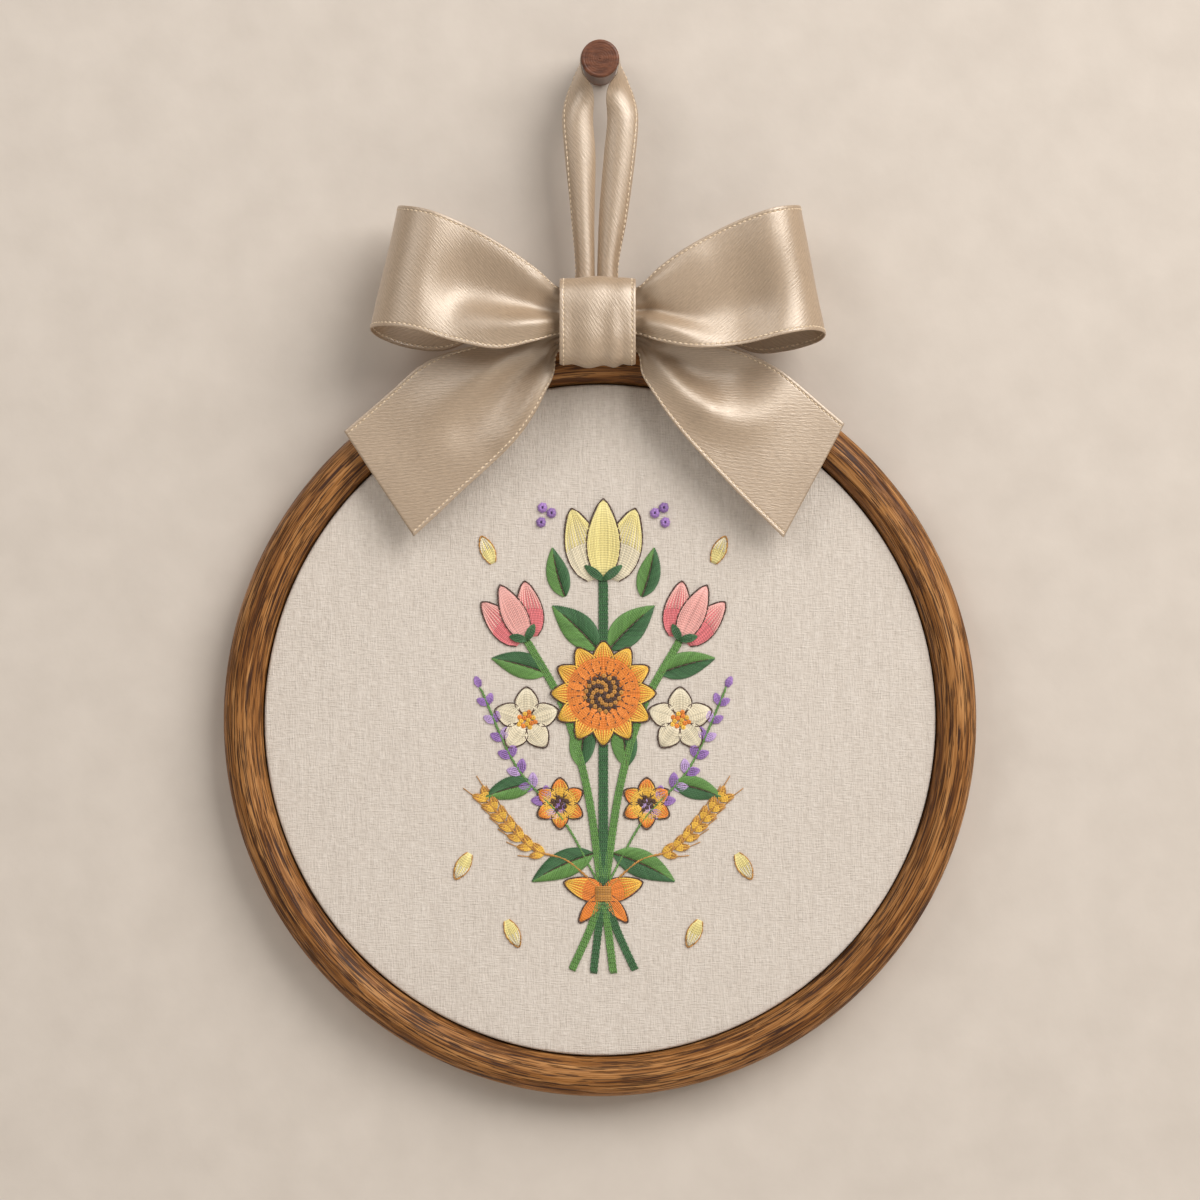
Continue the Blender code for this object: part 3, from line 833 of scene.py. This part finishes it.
def knot(maker):
    """The wrap: an oblong band, a little barrelled, with soft pleats round its lower half."""
    left, right = KNOT_X
    width = right - left
    shares = hem_shares(width, 40)
    # The ribbon's join, and the seam of its weave, are at the back.
    turns = math.pi + np.arange(KNOT_AROUND) * math.tau / KNOT_AROUND
    cosine = np.cos(turns)[:, None]
    sine = np.sin(turns)[:, None]
    size = np.abs(cosine) ** KNOT_SQUARENESS + np.abs(sine) ** KNOT_SQUARENESS
    size = size ** (-1 / KNOT_SQUARENESS)
    lower = smooth(-sine * 0.5 + 0.42)
    across = shares[None, :]
    inside = smooth(across * 6) * smooth((1 - across) * 6)
    bent = across + 0.05 * np.sin(math.tau * across + 0.9)
    pleats = 0.42 * lower * np.cos(math.tau * (3.2 * bent - 0.12 + 0.06 * sine))
    ripples = 0.16 * (1 - lower) * np.sin(math.tau * (2.3 * bent + 0.25 * cosine + 0.1))
    swell = 0.8 * (1 - (2 * across - 1) ** 2) + inside * (pleats + ripples)
    out = KNOT_CENTRE[0] + (KNOT_HALF_DEPTH + swell * np.maximum(cosine, 0.0)) * size * cosine
    height = KNOT_CENTRE[1] + (KNOT_HALF_HEIGHT + swell) * size * sine
    x = np.broadcast_to(left + across * width, height.shape)
    points = np.stack([x, height, out], axis=-1)
    line = points.mean(axis=1)
    under = "hanging_ribbon_satin"
    maker.sew(
        "knot_wrap", points, line, shares, width, 37, "folded", under, wrap=True, faces=(1,), weave_start=3.0
    )


# Hoop, peg and linen.


def ring_section():
    """Points round the outer ring's section, as (radius, distance forward) in millimetres."""
    half = HOOP_FACE / 2
    middle = OPENING_R + half
    outer = OPENING_R + HOOP_FACE
    rise = HOOP_DEPTH - HOOP_SIDE
    points = []
    for turn in np.linspace(math.pi, 0.0, 84):
        points.append((middle + half * math.cos(turn), HOOP_SIDE + rise * math.sin(turn)))
    for out in np.linspace(HOOP_SIDE, BACK_BEVEL, 10)[1:]:
        points.append((outer, out))
    for radius in np.linspace(outer - BACK_BEVEL, OPENING_R + BACK_BEVEL, 12):
        points.append((radius, 0.0))
    for out in np.linspace(BACK_BEVEL, HOOP_SIDE, 10)[:-1]:
        points.append((OPENING_R, out))
    return np.array(points)


def oak_ring(oak, centre):
    """The outer ring, with its pores cut into its surface."""
    section = ring_section()
    travelled = lengths_along(np.concatenate([section, section[:1]]))[:-1]
    ahead = unit(np.roll(section, -1, axis=0) - np.roll(section, 1, axis=0))
    outward = np.stack([-ahead[:, 1], ahead[:, 0]], axis=-1)
    outward = outward * np.sign(((section - section.mean(axis=0)) * outward).sum(axis=1))[:, None]
    turns = np.arange(RING_AROUND) * math.tau / RING_AROUND

    def drawn_out(reach, pitch, shift_x=0.0, shift_y=0.0):
        """Places for marks that run round the ring: a pitch apart, and longer the less the reach."""
        places = np.empty((RING_AROUND, len(section), 3))
        places[..., 0] = (reach * np.cos(turns) + shift_x)[:, None]
        places[..., 1] = (reach * np.sin(turns) + shift_y)[:, None]
        places[..., 2] = travelled / pitch
        return places

    long_pores = noise_at(drawn_out(5.0, 0.40)) - 0.26
    short_pores = noise_at(drawn_out(11.0, 0.34, 9.0)) - 0.3
    pores = smooth(np.maximum(np.maximum(long_pores, short_pores), 0.0) / 0.16)
    slow = noise_at(drawn_out(2.2, 2.6, 0.0, 5.0))
    quick = noise_at(drawn_out(4.5, 1.1, 0.0, 9.0))
    bands = 0.5 + 0.35 * slow + 0.35 * quick
    radii = section[:, 0] - outward[:, 0] * PORE_DEPTH * pores
    # The back stays flat against the wall.
    outs = np.maximum(section[:, 1] - outward[:, 1] * PORE_DEPTH * pores, 0.0)
    points = to_world(turned_grid(radii, outs, turns), centre).reshape(-1, 3)
    faces = grid_faces(RING_AROUND, len(section), True, True).tolist()
    values = {
        "grain": ("FLOAT", "value", pores),
        "band": ("FLOAT", "value", bands),
        "ring_place": ("FLOAT_VECTOR", "vector", drawn_out(7.0, 0.30)),
    }
    made = add_piece("hoop_outer_oak", points, faces, oak, values=values)
    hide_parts("hoop_outer")


def linen_sheet(linen, centre):
    """The stretched ground, turned back over the inner ring, with faint pulls where the ring grips it."""
    back_edge = CLOTH_BACK_EDGE + CLOTH_THICK / 2
    front = CLOTH_FRONT - CLOTH_THICK / 2
    rim = CLOTH_RIM - CLOTH_THICK / 2
    corner = 0.5
    profile = [(radius, front) for radius in np.linspace(0.02, rim - corner, LINEN_RINGS)]
    for degrees in (30, 60, 90):
        turn = math.radians(degrees)
        profile.append((rim - corner + corner * math.sin(turn), front - corner + corner * math.cos(turn)))
    for out in np.linspace(front - corner, back_edge, 12)[1:]:
        profile.append((rim, out))
    radii, outs = np.array(profile).T
    turns = np.arange(LINEN_AROUND) * math.tau / LINEN_AROUND
    points = turned_grid(radii, outs, turns)
    ground = points[:, : LINEN_RINGS - 1]
    places = ground * (1 / 1.6, 1 / 9.0, 0.0)
    pull = np.sin(37 * turns + 2 * np.sin(5 * turns)) * (0.5 + 0.5 * np.sin(3 * turns + 1))
    near_rim = smooth((radii[: LINEN_RINGS - 1] - 84) / 14)
    ground[..., 2] += 0.07 * pull[:, None] * near_rim
    ground[..., 2] += 0.05 * (noise_at(places) + noise_at(places * 0.2))
    uv = points[..., 0:2]
    made = cloth_solid("linen_ground_cloth", points, CLOTH_THICK, uv, linen, centre, wrap=True)
    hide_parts("linen_ground")


def dowel_peg(finish, place):
    """A turned dowel with an eased rim and faint turning marks on its end."""
    profile = []
    for radius in np.linspace(0.15, PEG_R - 1.0, 26):
        profile.append((radius, PEG_LENGTH - 0.06 + 0.02 * math.cos(radius * 9.0)))
    for degrees in range(0, 91, 15):
        turn = math.radians(degrees)
        profile.append((PEG_R - 0.8 + 0.8 * math.sin(turn), PEG_LENGTH - 0.8 + 0.8 * math.cos(turn)))
    for out in np.linspace(PEG_LENGTH - 1.6, 0.0, 24):
        profile.append((PEG_R - (PEG_R - PEG_WALL_R) * (1 - out / PEG_LENGTH), out))
    radii, outs = np.array(profile).T
    steps = 96
    points = turned_grid(radii, outs, np.arange(steps) * math.tau / steps)
    faces = grid_faces(steps, len(profile), True).tolist()
    last = len(profile) - 1
    faces.append([i * len(profile) for i in range(steps)])
    faces.append([i * len(profile) + last for i in range(steps - 1, -1, -1)])
    made = add_piece("peg_dowel", to_world(points, place).reshape(-1, 3), faces, finish)
    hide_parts("peg")


# Embroidery. Every helper lays strands in millimetres on the front of the linen.


def lay_strand(stitches, line, height=STRAND_RISE, radius=STRAND_R):
    """One stitch: it comes up through the cloth, lies over it and goes down again."""
    line = np.asarray(line, float)
    travelled = lengths_along(line)
    total = travelled[-1]
    if total < 0.3:
        return
    dip = min(0.3, total / 4)
    inner = np.linspace(dip, total - dip, max(3, min(7, int(total / 2.0) + 2)))
    at = np.concatenate([[0.0], inner, [total]])
    flat = read_off(at, travelled, line)
    rise = height * (0.72 + 0.28 * np.sin(np.pi * at / total))
    rise[0] = rise[-1] = -0.25
    radii = np.full(len(at), radius)
    radii[0] = radii[-1] = radius * 0.7
    path = np.column_stack([flat, CLOTH_FRONT + rise])
    stitches.add(path, radii, np.repeat(UP, len(at), axis=0), 6, 0.85)
    carry_behind(stitches, flat[0], radius)
    stitches.went_down = flat[-1]


def carry_behind(stitches, comes_up, radius):
    """The thread behind the cloth, from where the last stitch went down to where the next comes up."""
    if stitches.went_down is None:
        return
    reach = float(np.linalg.norm(comes_up - stitches.went_down))
    if not 0.5 < reach < LONGEST_CARRY:
        return
    behind = CLOTH_FRONT - CLOTH_THICK - radius
    part = np.linspace(0, 1, 4)[:, None]
    flat = stitches.went_down + (comes_up - stitches.went_down) * part
    slack = stitches.random.uniform(0.05, 0.45)
    sag = behind + 0.3 - (slack + 0.3) * np.sin(np.pi * part[:, 0])
    stitches.add(np.column_stack([flat, sag]), np.full(4, radius), np.repeat(-UP, 4, axis=0), 5, 0.85)


def turned_point(x, height, angle):
    cosine = math.cos(math.radians(angle))
    sine = math.sin(math.radians(angle))
    return np.array([x * cosine - height * sine, x * sine + height * cosine])


def curve(points, steps):
    points = np.array(points, float)
    return read_between(points, np.linspace(0, len(points) - 1, steps))


def back_stitch(stitches, line, length, radius, rise=0.0):
    """Short stitches end to end along a line."""
    line = np.asarray(line, float)
    travelled = lengths_along(line)
    marks = np.linspace(0, travelled[-1], max(1, round(travelled[-1] / length)) + 1)
    for start, end in zip(marks, marks[1:]):
        part = read_off(np.linspace(start, end, 4), travelled, line)
        lay_strand(stitches, part, height=0.42 + rise, radius=radius)


def petal(threads, colour, tip_colour, outline, base, angle, length, width, blunt, layer=0):
    """A petal of long stitches that fan from its base, with a shorter row of another tone at the tip."""
    base = np.array(base, float)
    share = np.linspace(0.0, 1.0, 9)
    spread = width / 2 * np.sin(np.pi * (0.06 + 0.86 * share**blunt)) ** 0.8
    raised = LAYER_RISE * layer
    count = max(5, int(width / 0.44))
    for k in range(count):
        side = -1 + 2 * k / (count - 1)
        reach = length * (1 - 0.1 * side * side)
        line = [base + turned_point(side * half, reach * part, angle) for part, half in zip(share, spread)]
        lay_strand(threads[colour], line, STRAND_RISE + raised)
        if tip_colour and k % 2 == 0:
            lay_strand(threads[tip_colour], line[4:], TIP_RISE + raised)
    if not outline:
        return
    reach = length * 0.92 + OUTLINE_GAP
    for side in (-1, 1):
        edge = [
            base + turned_point(side * (half + OUTLINE_GAP), reach * part, angle)
            for part, half in zip(share, spread)
        ]
        edge.append(base + turned_point(0.0, length + 0.5, angle))
        back_stitch(threads[outline], edge, 2.0, 0.21, raised)


def beside_line(line):
    """The direction to the left of a line at each of its points."""
    ahead = unit(np.gradient(line, axis=0))
    return np.stack([-ahead[:, 1], ahead[:, 0]], axis=-1)


def stem(threads, colour, points, rows):
    """Stem stitch: overlapping slanted stitches that make a cord-like line."""
    line = curve(points, 60)
    travelled = lengths_along(line)
    beside = beside_line(line)
    for row in range(rows):
        offset = (row - (rows - 1) / 2) * STEM_ROW
        start = 0.0
        while start < travelled[-1] - 1.0:
            at = np.linspace(start, min(start + STEM_STITCH, travelled[-1]), 5)
            slant = (np.linspace(-0.24, 0.24, 5) + offset)[:, None]
            part = read_off(at, travelled, line) + slant * read_off(at, travelled, beside)
            lay_strand(threads[colour], part, 0.4, 0.23)
            start += STEM_STITCH / 2
    return line


def leaf(threads, base, angle, length, width, bend):
    """Fishbone stitch: strands slant from a middle line out to the leaf's edge, darker on one side."""
    share = np.linspace(0, 1, 15)
    rib = np.array([base + turned_point(bend * part * part, length * part, angle) for part in share])
    half = width / 2 * np.sin(np.pi * share**0.85) ** 0.9
    travelled = lengths_along(rib)
    beside = beside_line(rib)
    for side, colour in ((1, "light_green"), (-1, "dark_green")):
        start = 0.0
        while start < travelled[-1] * 0.93:
            reach = min(start + 0.5 * width, travelled[-1])
            out_by = np.interp(reach, travelled, half)
            off_rib = side * read_off(start, travelled, beside)
            first = read_off(start, travelled, rib) + 0.12 * off_rib
            last = read_off(reach, travelled, rib)
            last = last + side * (out_by + 0.15) * read_off(reach, travelled, beside)
            bow = (first + last) / 2 + 0.12 * out_by * off_rib
            lay_strand(threads[colour], curve([first, bow, last], 6))
            start += 0.52
    back_stitch(threads["brown"], rib[:-1], 2.2, 0.16)


def french_knot(threads, colour, x, height, radius, rise=0.0):
    """A thread wound into a small knot that stands on the cloth."""
    turns = np.linspace(0, 2.2 * math.tau, 16)
    wind = radius * (1 - 0.55 * turns / turns[-1])
    out = CLOTH_FRONT + rise + 0.2 + 0.5 * radius * turns / turns[-1]
    path = np.column_stack([x + wind * np.cos(turns), height + wind * np.sin(turns), out])
    radii = np.full(len(turns), 0.34 * radius + 0.08)
    radii[0] = radii[-1] = 0.1
    threads[colour].add(path, radii, np.repeat(UP, len(turns), axis=0), 6, 0.95)


def flower(threads, place, petals, inner, length, width, colour, tip, heart, knots, layer=0):
    """Petals round a heart of knots."""
    x, height = place
    for k in range(petals):
        angle = 90 + 360 * k / petals
        turn = math.radians(angle)
        base = (x + inner * math.cos(turn), height + inner * math.sin(turn))
        petal(threads, colour, tip, "brown", base, angle - 90, length, width, 0.75, layer)
    golden_angle = math.pi * (3 - math.sqrt(5))
    for k in range(knots):
        reach = (inner + 0.6) * math.sqrt((k + 0.5) / knots)
        turn = k * golden_angle
        knot_x = x + reach * math.cos(turn)
        knot_height = height + reach * math.sin(turn)
        french_knot(threads, heart[k % len(heart)], knot_x, knot_height, 0.62, LAYER_RISE * layer)


def tulip(threads, place, angle, length, width, colour, tip):
    """Three cupped petals on a green calyx."""
    base = np.array(place)
    for side in (-1, 1):
        foot = base + turned_point(side * 0.16 * width, 0.0, angle)
        petal(threads, colour, tip, "brown", foot, angle - side * 17, length * 0.92, width * 0.55, 0.8)
    petal(threads, tip, None, "brown", base, angle, length, width * 0.5, 0.9, 1)
    for lean in (-52, 52):
        petal(threads, "dark_green", None, None, base, angle - lean, length * 0.3, 2.2, 1.0, 2)


def places_along(line, first, count):
    """Places from one share of a line's length to its end, each with that share and the line's angle."""
    travelled = lengths_along(line)
    ahead = np.gradient(line, axis=0)
    for k in range(count):
        share = first + (1 - first) * k / (count - 1)
        x, height = read_off(share * travelled[-1], travelled, ahead)
        place = read_off(share * travelled[-1], travelled, line)
        yield k, share, place, math.degrees(math.atan2(height, x)) - 90


def sprig(threads, points, buds):
    """A thin stem with pairs of small buds toward its end."""
    line = stem(threads, "light_green", points, rows=1)
    for k, share, place, angle in places_along(line, 0.34, buds):
        size = 1.25 - 0.5 * share
        last = k == buds - 1
        for side in (-1,) if last else (-1, 1):
            lean = 0 if last else side * 42
            tone = "pale_purple" if (k + (side > 0)) % 3 == 0 else "purple"
            petal(threads, tone, None, None, place, angle - lean, 4.6 * size, 2.6 * size, 0.9)


def wheat(threads, points, grains):
    """A golden ear: grains in pairs with a fine beard."""
    line = stem(threads, "golden", points, rows=1)
    for _, _, place, angle in places_along(line, 0.45, grains):
        for side in (-1, 1):
            petal(threads, "yellow", "golden", None, place, angle - side * 28, 4.6, 2.0, 0.9)
            foot = place + turned_point(0, 4.4, angle - side * 28)
            point = place + turned_point(0, 8.0, angle - side * 20)
            lay_strand(threads["golden"], [foot, point], 0.3, 0.14)


def embroider_side(threads, side):
    """One half of the spray."""

    def mirrored(*points):
        """Points given for the right half, as they are or reflected in the spray's middle line."""
        return [(FLORAL_X + side * x, height) for x, height in points]

    stem(threads, "light_green", mirrored((0.8, -48), (5, -20), (12, 4), (23, 24)), rows=4)
    tulip(threads, mirrored((23, 24))[0], -side * 26, 18, 14, "pink", "pale_pink")
    sprig(threads, mirrored((1.4, -49), (12, -30), (26, -14), (37, 10)), 9)
    wheat(threads, mirrored((1.8, -50), (11, -42), (22, -38), (35, -24)), 7)
    flower(threads, mirrored((23, 0))[0], 5, 2.2, 7.4, 6.6, "cream", None, ("yellow", "orange"), 14)
    flower(threads, mirrored((13, -25))[0], 6, 1.8, 5.6, 4.6, "yellow", "orange", ("brown",), 10)
    for x, height, lean, length, width, bend in LEAVES:
        leaf(threads, mirrored((x, height))[0], -side * lean, length, width, side * bend)
    for x, height in mirrored(*BERRIES):
        french_knot(threads, "purple", x, height, 1.3)
    for x, height, lean in STREWN_BUDS:
        place = mirrored((x, height))[0]
        petal(threads, "pale_yellow", "cream", "golden", place, -side * lean, 8.5, 3.6, 1.0)
    # Cut stems under the tie, then the tie's loops and ends.
    greens = ("dark_green", "light_green")[::side]
    stem(threads, greens[0], mirrored((0.8, -54), (4.5, -64), (9.5, -75)), rows=4)
    stem(threads, greens[1], mirrored((0.3, -54), (1.6, -64), (3.0, -76)), rows=4)
    petal(threads, "orange", "yellow", "brown", (FLORAL_X, -52), -side * 74, 12, 6.5, 0.7)
    petal(threads, "orange", None, "brown", (FLORAL_X, -52), -side * 140, 11, 3.6, 1.0)


def embroider(centre):
    """A mirrored folk spray of tulips, blossoms, berries and leaves, tied above its cut stems."""
    threads = {name: Stitches(100 + k) for k, name in enumerate(THREADS)}
    stem(threads, "dark_green", [(FLORAL_X, -50), (FLORAL_X, -25), (FLORAL_X, 0)], rows=5)
    stem(threads, "dark_green", [(FLORAL_X, 14), (FLORAL_X, 28), (FLORAL_X, 42)], rows=5)
    tulip(threads, (FLORAL_X, 42), 0, 24, 19, "cream", "pale_yellow")
    for side in (-1, 1):
        embroider_side(threads, side)
    heart = ("brown", "golden")
    flower(threads, (FLORAL_X, 8), 12, 5.0, 10.5, 6.6, "orange", "yellow", heart, 60, 1)
    for k in range(9):
        height = -54.0 + 0.5 * k
        lay_strand(threads["golden"], [(FLORAL_X - 2.6, height), (FLORAL_X + 2.6, height)], 0.75)
    for name, stitches in threads.items():
        finish = thread_material(name, THREADS[name])
        stitches.piece(f"embroidery_{name}", finish, "embroidery_thread", centre)


# The room.


def add_panel(name, corners, finish):
    """A flat panel of the room, which isn't part of the object."""
    mesh = bpy.data.meshes.new(name)
    mesh.from_pydata(corners, [], [(0, 1, 2, 3)])
    mesh.materials.append(finish)
    made = bpy.data.objects.new(name, mesh)
    bpy.context.scene.collection.objects.link(made)
    return made


def add_stage():
    """A pale wall and a pale floor, in metres."""
    half = 1.1
    low = -0.75
    high = 0.95
    behind = 0.0006
    corners = [(-half, behind, low), (half, behind, low), (half, behind, high), (-half, behind, high)]
    wall = add_panel("wall", corners, wall_material())
    # The lamp behind the wall lights the back of the hoop through it.
    wall.visible_shadow = False
    reach = 3.0
    corners = [(-reach, -reach, low), (reach, -reach, low), (reach, reach, low), (-reach, reach, low)]
    made = Finish("pale_floor", 0.8)
    pale = (0.60, 0.57, 0.53)
    floor_finish = two_toned(made, (9.0, 9.0, 9.0), 3.0, 0.5, pale, (0.64, 0.61, 0.57), 0.0)
    add_panel("floor", corners, floor_finish)


def add_area(name, place, aim, size, power, colour):
    lamp = bpy.data.lights.new(name, "AREA")
    lamp.size = size
    lamp.energy = power
    lamp.color = colour
    made = bpy.data.objects.new(name, lamp)
    made.location = place
    direction = Vector(aim) - Vector(place)
    made.rotation_euler = direction.to_track_quat("-Z", "Y").to_euler()
    bpy.context.scene.collection.objects.link(made)


def add_light(centre):
    """A soft key from the upper right, a weak fill, a lamp behind for the back, and a pale world."""
    aim = (centre.x, 0.0, centre.z)
    add_area("key", (0.95, -1.15, 0.80), aim, 1.3, 35.0, (1.0, 0.97, 0.935))
    add_area("fill", (-0.95, -1.15, 0.75), aim, 0.8, 7.0, (1.0, 0.98, 0.96))
    add_area("back", (-0.7, 1.3, 0.7), aim, 1.2, 12.0, (1.0, 0.98, 0.95))
    world = bpy.data.worlds.new("soft_room")
    world.use_nodes = True
    background = world.node_tree.nodes["Background"]
    background.inputs["Color"].default_value = (0.90, 0.87, 0.83, 1.0)
    background.inputs["Strength"].default_value = 0.29
    bpy.context.scene.world = world


def add_camera(centre):
    """Straight on, a little above the hoop's centre, from 1.2 m in front of the hoop's face."""
    lens = bpy.data.cameras.new("camera")
    lens.lens = 120.0
    lens.sensor_width = 36.0
    camera = bpy.data.objects.new("camera", lens)
    camera.location = (centre.x, -1.21, centre.z + 0.036)
    camera.rotation_euler = (math.radians(90), 0.0, 0.0)
    bpy.context.scene.collection.objects.link(camera)
    bpy.context.scene.camera = camera


def build():
    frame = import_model()
    ring_low, ring_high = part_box("hoop_outer")
    peg_low, peg_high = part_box("peg")
    centre = (ring_low + ring_high) / 2
    peg_centre = (peg_low + peg_high) / 2

    oak_ring(oak_material(), centre)
    walnut = plain_wood_material(
        "dark_walnut", (0.070, 0.022, 0.010), (0.190, 0.066, 0.030), 0.4, (300.0, 30.0, 900.0)
    )
    dowel_peg(walnut, peg_centre)
    beech = plain_wood_material(
        "plain_beech", (0.400, 0.235, 0.110), (0.620, 0.420, 0.230), 0.55, (90.0, 500.0, 90.0)
    )
    inner = frame["nodes"]["hoop_inner"]
    inner.data.materials.clear()
    inner.data.materials.append(beech)
    linen_sheet(linen_material(), centre)
    embroider(centre)

    maker = RibbonMaker(centre)
    ribbons = (
        # node, sections, folds, side, steps along, seed, whether it is a loop
        ("bow_loop_left", LEFT_LOOP, LEFT_LOOP_FOLDS, -1, 190, 1, True),
        ("bow_loop_right", RIGHT_LOOP, RIGHT_LOOP_FOLDS, 1, 190, 4, True),
        ("bow_tail_left", LEFT_TAIL, LEFT_TAIL_FOLDS, -1, 110, 7, False),
        ("bow_tail_right", RIGHT_TAIL, RIGHT_TAIL_FOLDS, 1, 110, 11, False),
    )
    for ribbon in ribbons:
        bow_ribbon(maker, *ribbon)
    knot(maker)
    hanging_ribbon(maker, (peg_centre.z - centre.z) / MM)

    add_stage()
    add_light(centre)
    add_camera(centre)
    bpy.context.scene.view_settings.view_transform = "Standard"


build()
